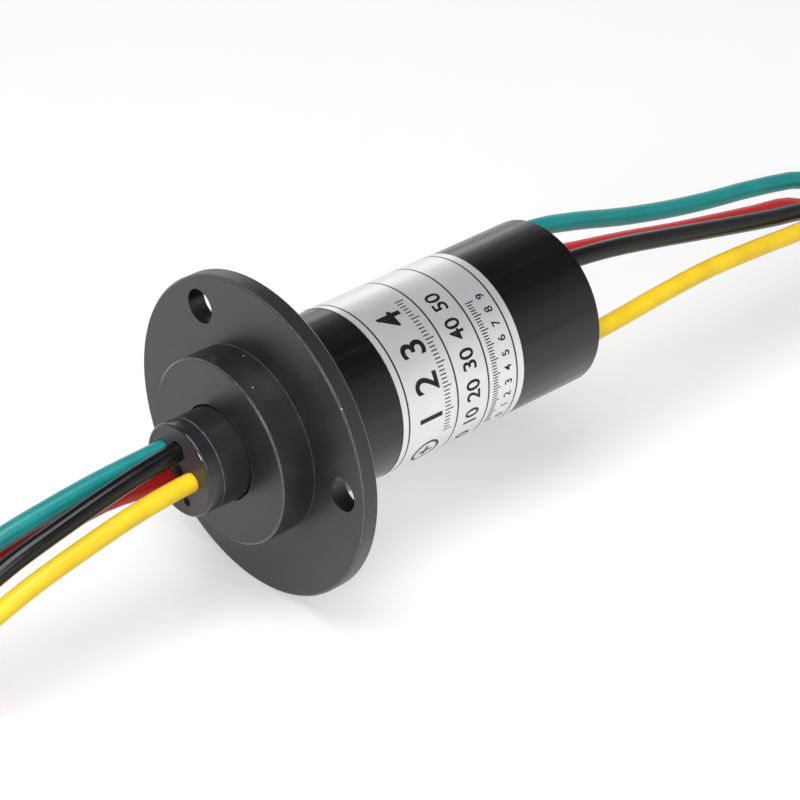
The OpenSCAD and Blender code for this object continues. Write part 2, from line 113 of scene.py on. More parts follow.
REAR_ROUTES = {
    "green": [(57.7, 8.1, 8.3), (65.6, 8.1, 8.3), (71, 8, 8.9), (81, 7.7, 6.8), (92, 7.4, 3.7),
              (103, 7, 1.2), (114, 6.7, -0.8), (127, 6.4, -2.7), (141, 5.3, -5.6),
              (153, 0.2, -11.6), (164.5, -7.4, -18.2), (175.7, -17.1, -22.7)],
    "black": [(57.7, -5.4, 10), (65.6, -5.4, 10), (76, -5.4, 8.6), (86, -5.4, 6.5),
              (97, -5.4, 3.9), (108, -5.4, 1.3), (119, -5.4, -1.2), (128, -5.3, -3.1),
              (141, -5.5, -7.6), (152, -7.2, -13.2), (163, -11.6, -19), (173.5, -19.7, -22.7)],
    "red": [(57.7, -1.3, 9.2), (65.6, -1.3, 9.2), (74, -1.3, 7.6), (85, -1.3, 5.3),
            (96, -1.3, 2.7), (107, -1.3, 0.4), (118, -1.3, -1.8), (128, -1.3, -3.8),
            (141, -1.4, -10.4), (153, -4, -17.2), (164.5, -9, -23), (175.7, -17.1, -26.2)],
    "yellow": [(57.7, -11.3, -2.1), (65.6, -11.3, -2.1), (75, -11, -1.8), (86, -10.7, -1.3),
               (97, -10.3, -1.3), (108, -10, -2), (118, -9.7, -3), (128, -9.4, -4.3),
               (141, -9.3, -10.4), (152, -10.2, -17.4), (163, -13.2, -23.2),
               (173.5, -19.7, -26.2)],
}
# Each end's body, its coil's centre and where the housing ends along the axis, in millimetres
ENDS = {
    "front": dict(body="rotor", routes=FRONT_ROUTES, centre=(-107, 0), mouth=-14.65),
    "rear": dict(body="stator", routes=REAR_ROUTES, centre=(190, 0), mouth=64.7),
}


# ---------------------------------------------------------------- settings

def colour(name, description, value):
    """A setting for a colour."""
    return FloatVectorProperty(
        name=name, description=description, subtype="COLOR", size=3, min=0, max=1, default=value)


def distance(name, description, value):
    """A setting for a length in metres."""
    return FloatProperty(
        name=name, description=description, unit="LENGTH", subtype="DISTANCE",
        precision=5, min=0, default=value)


class LeadSettings(bpy.types.PropertyGroup):
    """Sizes and colours of the leads"""

    diameter: distance("Diameter", "Outside diameter of a lead", 0.0033)
    length: distance("Length", "Length of a lead outside the housing", 0.25)
    coil_radius: distance("Coil radius", "Radius of the bundle where its coil starts", 0.024)
    coil_pitch: distance("Coil pitch", "How far the coil closes in with each turn", 0.007)
    bare_length: distance("Bare end", "Length of the stripped and tinned end", 0.006)
    conductor: distance("Conductor", "Diameter of the bare conductor", 0.0016)
    strands: IntProperty(
        name="Strands", description="Strands that show round the conductor", min=3, default=7)
    lay_turns: FloatProperty(
        name="Lay", description="Turns of the strands along the bare end", default=0.7)
    tie_width: distance("Tie width", "Width of the tape that holds a coil", 0.008)
    green: colour("Green", "Insulation of the green lead", (0.006, 0.26, 0.255))
    black: colour("Black", "Insulation of the black lead", (0.004, 0.004, 0.0048))
    red: colour("Red", "Insulation of the red lead", (0.52, 0.012, 0.016))
    yellow: colour("Yellow", "Insulation of the yellow lead", (0.92, 0.62, 0.018))


class ShellSettings(bpy.types.PropertyGroup):
    """Colours of the housing"""

    cover: colour("Cover", "Front cover with its flange", (0.0108, 0.0106, 0.0116))
    barrel: colour("Barrel", "Barrel of the stator", (0.0045, 0.0045, 0.005))
    cap: colour("Rear cap", "Cap in the barrel's end", (0.02, 0.02, 0.021))
    nub: colour("Nub", "Nub of the rotor", (0.02, 0.0196, 0.021))
    plug: colour("End plug", "Plug that the front leads pass through", (0.05, 0.044, 0.044))
    dust: colour("Dust", "Specks of dust on the shells", (0.5, 0.5, 0.5))


class LabelSettings(bpy.types.PropertyGroup):
    """Print and film of the label"""

    film: colour("Film", "Silver film of the label", (0.82, 0.815, 0.83))
    ink: colour("Ink", "Print on the label", (0.004, 0.004, 0.0048))
    rule: distance("Rule", "Width of a printed rule", 0.00034)
    ink_height: distance("Ink height", "How far the print stands on the film", 0.00002)


class StudioSettings(bpy.types.PropertyGroup):
    """Camera, floor and lights"""

    camera_place: FloatVectorProperty(
        name="Camera place", description="Where the camera stands", subtype="TRANSLATION",
        unit="LENGTH", size=3, default=(-0.2713, -0.3393, 0.28142))
    heading: FloatProperty(
        name="Heading", description="How far the camera is turned about the vertical",
        unit="ROTATION", subtype="ANGLE", default=math.radians(-41.86))
    tilt: FloatProperty(
        name="Tilt", description="How far the camera looks up from straight down",
        unit="ROTATION", subtype="ANGLE", default=math.radians(57.7))
    lens: FloatProperty(
        name="Lens", description="Focal length of the camera", unit="CAMERA", default=143.7)
    floor: colour("Floor", "Colour of the floor", (0.62, 0.62, 0.624))
    floor_glow: FloatProperty(
        name="Floor glow", description="Light that the floor adds where it is seen", min=0,
        max=1, default=0.42)


SETTINGS = {
    "slipring_leads": LeadSettings,
    "slipring_shells": ShellSettings,
    "slipring_label": LabelSettings,
    "slipring_studio": StudioSettings,
}


# ---------------------------------------------------------------- node trees

class Desk:
    """Lays out a node tree: each call adds one node and joins its inputs."""

    def __init__(self, tree):
        self.tree = tree
        self.column = 0

    def add(self, kind, inputs=None, **settings):
        """A new node."""
        made = self.tree.nodes.new(kind)
        made.location = (self.column, 0)
        self.column += 180
        for name, value in settings.items():
            setattr(made, name, value)
        for key, value in (inputs or {}).items():
            self.join(value, made.inputs[key])
        return made

    def out(self, output, kind, inputs=None, **settings):
        """One output of a new node."""
        return self.add(kind, inputs, **settings).outputs[output]

    def join(self, value, socket):
        """Feeds a socket from another one, or sets it."""
        if isinstance(value, bpy.types.NodeSocket):
            self.tree.links.new(value, socket)
        else:
            socket.default_value = value

    def math(self, operation, *values, clamp=False):
        return self.out(0, "ShaderNodeMath", dict(enumerate(values)), operation=operation,
                        use_clamp=clamp)

    def plus(self, first, second, clamp=False):
        return self.math("ADD", first, second, clamp=clamp)

    def minus(self, first, second, clamp=False):
        return self.math("SUBTRACT", first, second, clamp=clamp)

    def times(self, first, second):
        return self.math("MULTIPLY", first, second)

    def span(self, first, second):
        """The length of a way with these two parts at right angles."""
        return self.math("SQRT", self.plus(self.times(first, first), self.times(second, second)))

    def fade(self, value, low, high, to_low=0.0, to_high=1.0):
        """Value from low to high, brought to to_low to to_high."""
        return self.out("Result", "ShaderNodeMapRange", {
            "Value": value, "From Min": low, "From Max": high,
            "To Min": to_low, "To Max": to_high})

    def mix(self, share, first, second):
        """A colour between two: inputs 6 and 7 and output 2 are the node's colours."""
        return self.out(
            2, "ShaderNodeMix", {"Factor": share, 6: first, 7: second}, data_type="RGBA")

    def noise(self, vector, scale, detail=3.0):
        return self.out("Fac", "ShaderNodeTexNoise", {
            "Vector": vector, "Scale": scale, "Detail": detail})

    def vector(self, *parts):
        return self.out("Vector", "ShaderNodeCombineXYZ", dict(enumerate(parts)))

    def object_place(self):
        return self.out("Object", "ShaderNodeTexCoord")

    def bump(self, height, strength, depth):
        return self.out("Normal", "ShaderNodeBump", {
            "Height": height, "Strength": strength, "Distance": depth})

    def effect(self, name, **inputs):
        """One of the shared effects, with its inputs by name."""
        inputs = {key.replace("_", " ").title(): value for key, value in inputs.items()}
        return self.add("ShaderNodeGroup", inputs, node_tree=effects()[name]).outputs


def effect_tree(name, inputs, outputs):
    """An empty shader group: its tree, a desk for it, and its two ends.

    An input's default is a number, or None where it is a vector. Each output is a number.
    """
    tree = bpy.data.node_groups.new(name, "ShaderNodeTree")
    for socket, default in inputs.items():
        kind = "NodeSocketVector" if default is None else "NodeSocketFloat"
        made = tree.interface.new_socket(socket, in_out="INPUT", socket_type=kind)
        if default is not None:
            made.default_value = default
    for socket in outputs:
        tree.interface.new_socket(socket, in_out="OUTPUT", socket_type="NodeSocketFloat")
    desk = Desk(tree)
    start = desk.add("NodeGroupInput").outputs
    return tree, desk, start, tree.nodes.new("NodeGroupOutput").inputs


def axial_place():
    """Where a point lies on a turned piece: along the axis and out from it."""
    tree, desk, start, end = effect_tree(
        "Axial Place", {"Vector": None}, ("Along", "Out"))
    parts = desk.add("ShaderNodeSeparateXYZ", {"Vector": start["Vector"]}).outputs
    desk.join(parts["X"], end["Along"])
    desk.join(desk.span(parts["Y"], parts["Z"]), end["Out"])
    return tree


def edge_line():
    """A mask that is 1 on a round edge of a turned piece and fades out within Width."""
    tree, desk, start, end = effect_tree(
        "Edge Line", {"Along": 0, "Out": 0, "Edge Along": 0, "Edge Out": 0, "Width": 0.001},
        ("Mask",))
    gap_x = desk.minus(start["Along"], start["Edge Along"])
    gap_r = desk.minus(start["Out"], start["Edge Out"])
    share = desk.math("DIVIDE", desk.span(gap_x, gap_r), start["Width"])
    mask = desk.minus(1.0, share, clamp=True)
    desk.join(mask, end["Mask"])
    return tree


def fine_grain():
    """The fine grain of a moulded or turned surface, as a height, and its slow mottle."""
    tree, desk, start, end = effect_tree(
        "Fine Grain", {"Vector": None, "Scale": 4000}, ("Height", "Mottle"))
    grain = desk.noise(start["Vector"], start["Scale"], detail=2)
    pits = desk.out("Distance", "ShaderNodeTexVoronoi", {
        "Vector": start["Vector"], "Scale": desk.times(start["Scale"], 0.6)})
    desk.join(desk.plus(grain, desk.times(pits, 0.5)), end["Height"])
    slow = desk.noise(start["Vector"], desk.times(start["Scale"], 0.03), detail=4)
    desk.join(slow, end["Mottle"])
    return tree


def hole_wall():
    """A mask that is 1 on the wall of a hole along the axis, with Centre Y and Z and Radius."""
    tree, desk, start, end = effect_tree(
        "Hole Wall", {"Vector": None, "Centre Y": 0, "Centre Z": 0, "Radius": 0.003}, ("Mask",))
    parts = desk.add("ShaderNodeSeparateXYZ", {"Vector": start["Vector"]}).outputs
    gap_y = desk.minus(parts["Y"], start["Centre Y"])
    gap_z = desk.minus(parts["Z"], start["Centre Z"])
    margin = 1.02  # so that the whole wall lies within the edge
    edge = desk.times(start["Radius"], margin)
    desk.join(desk.math("LESS_THAN", desk.span(gap_y, gap_z), edge), end["Mask"])
    return tree


def dust_specks():
    """Single small specks, a share of the cells of a grid of points."""
    tree, desk, start, end = effect_tree(
        "Dust Specks", {"Vector": None, "Scale": 400, "Size": 0.06, "Share": 0.1}, ("Mask",))
    cells = desk.add("ShaderNodeTexVoronoi", {
        "Vector": start["Vector"], "Scale": start["Scale"]}).outputs
    lot = desk.out("Red", "ShaderNodeSeparateColor", {"Color": cells["Color"]})
    chosen = desk.math("LESS_THAN", lot, start["Share"])
    size = desk.times(start["Size"], desk.math("DIVIDE", lot, start["Share"]))
    near = desk.math("LESS_THAN", cells["Distance"], size)
    desk.join(desk.times(chosen, near), end["Mask"])
    return tree


def drawn_streaks():
    """Faint streaks that run along the axis, as on an extruded tube."""
    tree, desk, start, end = effect_tree(
        "Drawn Streaks", {"Vector": None, "Scale": 600}, ("Height", "Mask"))
    drawn = desk.out("Vector", "ShaderNodeMapping", {
        "Vector": start["Vector"], "Scale": (0.04, 1, 1)})
    fine = desk.noise(drawn, start["Scale"], detail=3)
    broad = desk.noise(drawn, desk.times(start["Scale"], 0.25), detail=2)
    desk.join(desk.plus(fine, desk.times(broad, 2.0)), end["Height"])
    desk.join(desk.fade(fine, 0.45, 0.75), end["Mask"])
    return tree


EFFECTS = {}


def effects():
    """The shared effects, built once."""
    if not EFFECTS:
        for make in (axial_place, edge_line, hole_wall, fine_grain, dust_specks, drawn_streaks):
            EFFECTS[make.__name__] = make()
    return EFFECTS


def new_material(name):
    """An empty material: the material, its desk and its Principled shader."""
    material = bpy.data.materials.new(name)
    material.use_nodes = True
    material.node_tree.nodes.clear()
    desk = Desk(material.node_tree)
    shader = desk.add("ShaderNodeBsdfPrincipled")
    desk.add("ShaderNodeOutputMaterial", {"Surface": shader.outputs["BSDF"]})
    return material, desk, shader


def set_shader(desk, shader, inputs):
    """Joins or sets the shader's inputs by name."""
    for key, value in inputs.items():
        desk.join(value, shader.inputs[key])


def solid_colour(value):
    """The colour with the fourth number that a socket needs."""
    return (*value, 1.0)


def tone(value, factor):
    """The same colour, lighter or darker."""
    return tuple(min(1.0, part * factor) for part in value) + (1.0,)


def moulded_plastic(
        name, base, roughness, grain=5000, bump=0.12, dust=0.04, edges=(), gloss=0.5, holes=()):
    """Moulded plastic with grain, mottle, edges lightened partly by wear and partly as a painted
    highlight, painted shade in its holes and a few specks of dust.

    An edge is its place along the axis, its radius and its width; a hole is the place of its
    centre across the axis and its radius. Both are in millimetres.
    """
    material, desk, shader = new_material(name)
    place = desk.object_place()
    surface = desk.effect("fine_grain", vector=place, scale=grain)
    hue = desk.mix(desk.fade(surface["Mottle"], 0.35, 0.65), tone(base, 0.86), tone(base, 1.14))
    rough = desk.fade(surface["Mottle"], 0.3, 0.7, roughness * 0.9, roughness * 1.12)
    if edges:
        axial = desk.effect("axial_place", vector=place)
        edge_wear_and_highlight = 0.0
        for along, out, width in edges:
            line = desk.effect("edge_line", along=axial["Along"], out=axial["Out"],
                               edge_along=along * MM, edge_out=out * MM, width=width * MM)
            edge_wear_and_highlight = desk.plus(edge_wear_and_highlight, line["Mask"], clamp=True)
        broken = desk.fade(desk.noise(place, 900, detail=4), 0.3, 0.7, 0.35, 1.0)
        # Lightened edges: partly wear, partly a painted highlight of the glint on each bevel
        wear_and_highlight_hue = tone(base, 11)
        hue = desk.mix(desk.times(edge_wear_and_highlight, broken), hue, wear_and_highlight_hue)
        rough = desk.fade(edge_wear_and_highlight, 0, 1, rough, roughness * 0.5)
    # Painted shade: the walls of the holes are darkened where little light reaches
    shaded = tone(base, 0.25)
    for y, z, radius in holes:
        wall = desk.effect("hole_wall", vector=place, centre_y=y * MM, centre_z=z * MM,
                           radius=radius * MM)
        hue = desk.mix(wall["Mask"], hue, shaded)
    specks = desk.effect("dust_specks", vector=place, scale=850, size=0.13, share=dust)
    dust_colour = solid_colour(bpy.context.scene.slipring_shells.dust)
    hue = desk.mix(specks["Mask"], hue, dust_colour)
    set_shader(desk, shader, {
        "Base Color": hue, "Roughness": rough, "Specular IOR Level": gloss,
        "Normal": desk.bump(surface["Height"], bump, 0.00008)})
    return material


def turned_metal(name, base, roughness):
    """Turned or rolled metal: fine rings round the axis and slow stains."""
    material, desk, shader = new_material(name)
    place = desk.object_place()
    axial = desk.effect("axial_place", vector=place)
    rings = desk.noise(desk.vector(axial["Along"], axial["Out"]), 9000, detail=3)
    stain = desk.noise(place, 260, detail=4)
    hue = desk.mix(desk.fade(stain, 0.35, 0.7), tone(base, 0.82), tone(base, 1.1))
    set_shader(desk, shader, {
        "Base Color": hue, "Metallic": 1.0,
        "Roughness": desk.fade(stain, 0.3, 0.7, roughness * 0.8, roughness * 1.3),
        "Normal": desk.bump(rings, 0.15, 0.00002)})
    return material


def lead_skin(name, base, roughness):
    """Extruded insulation: satin, with faint ripples and handling marks."""
    material, desk, shader = new_material(name)
    place = desk.object_place()
    surface = desk.effect("fine_grain", vector=place, scale=2600)
    ripple = desk.noise(place, 420, detail=2)
    smear = desk.fade(desk.noise(place, 150, detail=3), 0.35, 0.7)
    hue = desk.mix(smear, tone(base, 0.9), tone(base, 1.1))
    height = desk.plus(desk.times(surface["Height"], 0.3), ripple)
    set_shader(desk, shader, {
        "Base Color": hue,
        "Roughness": desk.fade(smear, 0, 1, roughness * 0.85, roughness * 1.2),
        "Specular IOR Level": 0.38,
        "Normal": desk.bump(height, 0.12, 0.0001)})
    return material


# ---------------------------------------------------------------- meshes

def join_scene(name, data):
    """A new object at the origin."""
    made = bpy.data.objects.new(name, data)
    bpy.context.scene.collection.objects.link(made)
    return made


def piece(name, data, body, material):
    """A finished mesh or curve as a piece that rides on a body."""
    made = join_scene(name, data)
    data.materials.clear()
    data.materials.append(material)
    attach(made, body)
    return made


def plain_mesh(seed, name):
    """The plain mesh of an object with its modifiers done, in place of the object."""
    bpy.context.view_layer.update()
    depsgraph = bpy.context.evaluated_depsgraph_get()
    mesh = bpy.data.meshes.new_from_object(seed.evaluated_get(depsgraph))
    bpy.data.objects.remove(seed)
    mesh.name = name
    return mesh


def closed_mesh(shape, name):
    """A finished shape as a mesh whose faces point outwards."""
    mesh = bpy.data.meshes.new(name)
    bmesh.ops.recalc_face_normals(shape, faces=shape.faces)
    shape.to_mesh(mesh)
    shape.free()
    return mesh


def poly_curve(name, points):
    """A curve of straight stretches from point to point."""
    curve = bpy.data.curves.new(name, "CURVE")
    curve.dimensions = "3D"
    line = curve.splines.new("POLY")
    line.points.add(len(points) - 1)
    for spot, place in zip(line.points, points):
        spot.co = (*place, 1)
    return curve


def growth_tree(name, **inputs):
    """An empty Geometry Nodes tree with named inputs: its desk and the inputs' sockets."""
    tree = bpy.data.node_groups.new(name, "GeometryNodeTree")
    tree.interface.new_socket("Geometry", in_out="INPUT", socket_type="NodeSocketGeometry")
    for key, kind in (*inputs.items(), ("material", "Material")):
        tree.interface.new_socket(
            key.replace("_", " ").title(), in_out="INPUT", socket_type=f"NodeSocket{kind}")
    tree.interface.new_socket("Geometry", in_out="OUTPUT", socket_type="NodeSocketGeometry")
    desk = Desk(tree)
    return desk, desk.add("NodeGroupInput").outputs


def end_growth(desk, start, shape):
    """Ends a Geometry Nodes tree with plain geometry in the chosen material."""
    solid = desk.out("Geometry", "GeometryNodeRealizeInstances", {"Geometry": shape})
    dressed = desk.out("Geometry", "GeometryNodeSetMaterial", {
        "Geometry": solid, "Material": start["Material"]})
    desk.add("NodeGroupOutput", {"Geometry": dressed})
    return desk.tree


def grown(name, source, tree, **inputs):
    """The plain mesh that a Geometry Nodes tree makes from a curve or mesh."""
    seed = join_scene(name, source)
    modifier = seed.modifiers.new("Growth", "NODES")
    modifier.node_group = tree
    named = {s.name: s.identifier for s in tree.interface.items_tree if s.in_out == "INPUT"}
    for key, value in inputs.items():
        modifier[named[key.replace("_", " ").title()]] = value
    return plain_mesh(seed, name)


def paint(nodes, material):
    """Gives construction nodes that stay in view their finish."""
    for name in nodes:
        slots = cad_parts[name].data.materials
        slots.clear()
        slots.append(material)


# ---------------------------------------------------------------- leads

def coil_start(end, colour_name):
    """The centre of a lead's coil at its own layer, and its radius and angle where it starts."""
    spec = ENDS[end]
    last = Vector(spec["routes"][colour_name][-1]) * MM
    centre = Vector((*spec["centre"], 0)) * MM
    centre.z = last.z
    out = last - centre
    return centre, out.length, math.atan2(out.y, out.x)


def coil_point(centre, radius, start, turn, pitch):
    """A point on a coil that closes in as it turns, counted in turns from its start."""
    angle = start + turn * math.tau
    return centre + Vector((math.cos(angle), math.sin(angle), 0)) * (radius - turn * pitch)


def smooth_route(points):
    """Points on a smooth curve through the chosen ones, a few to each stretch."""
    made = []
    for i in range(len(points) - 1):
        before = points[max(i - 1, 0)]
        here, after = points[i], points[i + 1]
        beyond = points[min(i + 2, len(points) - 1)]
        leave, arrive = (after - before) / 2, (beyond - here) / 2
        span = (after - here).length
        leave = leave.normalized() * span
        arrive = arrive.normalized() * span
        for k in range(STEPS):
            t = k / STEPS
            made.append(
                here * (2 * t**3 - 3 * t**2 + 1) + leave * (t**3 - 2 * t**2 + t)
                + after * (3 * t**2 - 2 * t**3) + arrive * (t**3 - t**2))
    return made


def path_length(points):
    """The length of the straight stretches from point to point."""
    return sum((b - a).length for a, b in zip(points, points[1:]))


def lead_path(end, colour_name, leads):
    """The centreline of one lead: out of its hole, down to the floor and round its coil."""
    spec = ENDS[end]
    route = [Vector(p) * MM for p in spec["routes"][colour_name]]
    centre, radius, start = coil_start(end, colour_name)
    lead_in = 0.05  # turns to the point that the route's last stretch aims for
    beyond = coil_point(centre, radius, start, lead_in, leads.coil_pitch)
    points = smooth_route(route + [beyond])[:-STEPS]
    wanted = leads.length + abs(spec["mouth"] * MM - route[0].x)
    turn = 0.0
    while path_length(points) < wanted:
        points.append(coil_point(centre, radius, start, turn, leads.coil_pitch))
        turn += 1 / COIL_STEPS
    extra = path_length(points) - wanted
    points[-1] -= (points[-1] - points[-2]).normalized() * extra
    return points


def lead_curve(name, points, diameter):
    """A round lead along its centreline, closed at both ends."""
    curve = poly_curve(name, points)
    curve.bevel_depth = diameter / 2
    curve.bevel_resolution = 6
    curve.use_fill_caps = True
    curve.splines[0].use_smooth = True
    return curve


def strand_tree():
    """Twisted strands along a short line, as a Geometry Nodes tree."""
    desk, start = growth_tree(
        "Twisted Strands", strands="Int", conductor_radius="Float", lay_turns="Float")
    strand_share = 0.34  # radius of a strand as a share of the conductor's
    line = desk.out("Curve", "GeometryNodeResampleCurve", {
        "Curve": start["Geometry"], "Count": 17})
    share = desk.out("Factor", "GeometryNodeSplineParameter")
    lay = desk.times(desk.times(share, start["Lay Turns"]), math.tau)
    tilted = desk.out("Curve", "GeometryNodeSetCurveTilt", {"Curve": line, "Tilt": lay})
    strand_r = desk.times(start["Conductor Radius"], strand_share)
    ring_r = desk.minus(start["Conductor Radius"], strand_r)
    ring = desk.out("Mesh", "GeometryNodeMeshCircle", {
        "Vertices": start["Strands"], "Radius": ring_r})
    profile = desk.out("Curve", "GeometryNodeCurvePrimitiveCircle", {
        "Resolution": 10, "Radius": strand_r}, mode="RADIUS")
    placed = desk.out("Instances", "GeometryNodeInstanceOnPoints", {
        "Points": ring, "Instance": profile})
    core = desk.out("Curve", "GeometryNodeCurvePrimitiveCircle", {
        "Resolution": 14, "Radius": ring_r}, mode="RADIUS")
    section = desk.out("Geometry", "GeometryNodeRealizeInstances", {"Geometry": placed})
    both = desk.add("GeometryNodeJoinGeometry")
    for part in (section, core):
        desk.join(part, both.inputs["Geometry"])
    swept = desk.out("Mesh", "GeometryNodeCurveToMesh", {
        "Curve": tilted, "Profile Curve": both.outputs["Geometry"], "Fill Caps": True})
    return end_growth(desk, start, swept)


def tip_line(points, length):
    """A straight line that goes on from the end of a lead, from a little way inside it."""
    inside = 0.001
    way = (points[-1] - points[-3]).normalized()
    return poly_curve("Tip", (points[-1] - way * inside, points[-1] + way * length))


def tie_mesh(name, end, leads):
    """A band of tape round the turns of a coil, at one place on it."""
    spec = ENDS[end]
    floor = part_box(f"{end}_coil")[0].z
    lead_r = leads.diameter / 2
    centre = Vector((*spec["centre"], 0)) * MM
    side = LAYER + lead_r
    outer = leads.coil_radius - TIE_TURN * leads.coil_pitch + side
    inner = outer - 2 * side - leads.coil_pitch
    low, high = floor + LIFT, floor + LIFT + 2 * TAPE + 2 * side
    angle = coil_start(end, "green")[2] + TIE_TURN * math.tau
    across = Vector((math.cos(angle), math.sin(angle), 0))
    along = Vector((-across.y, across.x, 0))
    corner = lead_r * 0.9
    corner_steps = 8
    left, right = inner + corner, outer - corner
    bottom, top = low + TAPE + corner, high - TAPE - corner
    shape = bmesh.new()
    loops = []
    for offset in (0.0, TAPE):
        outline = []
        for cx, cz, first in (
                (right, top, 0), (left, top, 90), (left, bottom, 180), (right, bottom, 270)):
            for k in range(corner_steps + 1):
                a = math.radians(first + k * 90 / corner_steps)
                outline.append((cx + (corner + offset) * math.cos(a),
                                cz + (corner + offset) * math.sin(a)))
        for way in (-0.5, 0.5):
            loops.append([shape.verts.new(
                centre + across * u + Vector((0, 0, v)) + along * way * leads.tie_width)
                for u, v in outline])
    inside_a, inside_b, outside_a, outside_b = loops
    count = len(inside_a)
    for k in range(count):
        n = (k + 1) % count
        for one, two in ((outside_a, outside_b), (inside_b, inside_a),
                         (inside_a, outside_a), (outside_b, inside_b)):
            shape.faces.new((one[k], one[n], two[n], two[k]))
    return closed_mesh(shape, name)


# ---------------------------------------------------------------- label print

def number_mesh(text, height, thickness):
    """A number lying flat: reading along X, its top towards Y, as a closed mesh."""
    digit_share = 0.72  # height of a digit as a share of the font's size
    boldness = 0.022    # how far a stroke is widened, as a share of the height
    curve = bpy.data.curves.new("Number", "FONT")
    curve.body = text
    curve.size = height / digit_share
    curve.extrude = thickness / 2
    curve.offset = height * boldness
    return plain_mesh(join_scene("Number", curve), "Number")


def mark_mesh(name, width, line, thickness):
    """A plain round reference mark with a cross in it, lying flat as a closed mesh."""
    sides = 64
    shape = bmesh.new()
    outer, inner = width / 2, width / 2 - line
    ring = [[shape.verts.new((r * math.cos(a), r * math.sin(a), z))
             for a in (math.tau * k / sides for k in range(sides))]
            for r, z in ((outer, thickness / 2), (outer, -thickness / 2),
                         (inner, -thickness / 2), (inner, thickness / 2))]
    for k in range(sides):
        n = (k + 1) % sides
        for side in range(4):
            one, two = ring[side], ring[(side + 1) % 4]
            shape.faces.new((one[k], two[k], two[n], one[n]))
    reach = inner * 0.62
    # One bar of the cross is a little thinner, so that no two faces lie in one plane
    for half_x, half_y, rise in ((reach, line / 2, thickness), (line / 2, reach, thickness * 0.9)):
        for vert in bmesh.ops.create_cube(shape, size=1)["verts"]:
            vert.co = Vector((vert.co.x * 2 * half_x, vert.co.y * 2 * half_y, vert.co.z * rise))
    return closed_mesh(shape, name)


def wrap(mesh, surface, start, baseline):
    """Bends a flat print round the label: X runs down the angle, Y towards the nub."""
    close = 1e-7
    shape = bmesh.new()
    shape.from_mesh(mesh)
    bmesh.ops.remove_doubles(shape, verts=shape.verts, dist=close)
    across = [vert.co.x for vert in shape.verts]
    cut = min(across) + WRAP_STEP
    while cut < max(across):
        whole = shape.verts[:] + shape.edges[:] + shape.faces[:]
        bmesh.ops.bisect_plane(
            shape, geom=whole, dist=close, plane_co=(cut, 0, 0), plane_no=(1, 0, 0))
        cut += WRAP_STEP
    bmesh.ops.triangulate(shape, faces=shape.faces)
    for vert in shape.verts:
        angle = start - vert.co.x / surface
        radius = surface + vert.co.z
        vert.co = Vector((baseline - vert.co.y, radius * math.cos(angle), radius * math.sin(angle)))
    shape.to_mesh(mesh)
    shape.free()


def tick_tree():
    """A scale of ticks round the label, every few of them longer, as a Geometry Nodes tree."""
    desk, start = growth_tree(
        "Label Ticks", count="Int", longer_every="Int", along="Float", length="Float",
        width="Float", radius="Float", height="Float", start="Float", sweep="Float")
    index = desk.out("Index", "GeometryNodeInputIndex")
    share = desk.math("DIVIDE", index, desk.minus(start["Count"], 1))
    angle = desk.plus(start["Start"], desk.times(share, start["Sweep"]))
    is_long = desk.math("LESS_THAN", desk.math("MODULO", index, start["Longer Every"]), 0.5)
    length = desk.times(start["Length"], desk.plus(1, desk.times(is_long, 0.5)))
    place = desk.vector(
        desk.plus(start["Along"], desk.times(length, 0.5)),
        desk.times(start["Radius"], desk.math("COSINE", angle)),
        desk.times(start["Radius"], desk.math("SINE", angle)))
    dots = desk.out("Points", "GeometryNodePoints", {"Count": start["Count"], "Position": place})
    block = desk.out("Mesh", "GeometryNodeMeshCube", {"Size": (1, 1, 1)})
    placed = desk.out("Instances", "GeometryNodeInstanceOnPoints", {
        "Points": dots, "Instance": block, "Rotation": desk.vector(angle),
        "Scale": desk.vector(length, start["Height"], start["Width"])})
    return end_growth(desk, start, placed)


# ---------------------------------------------------------------- operators

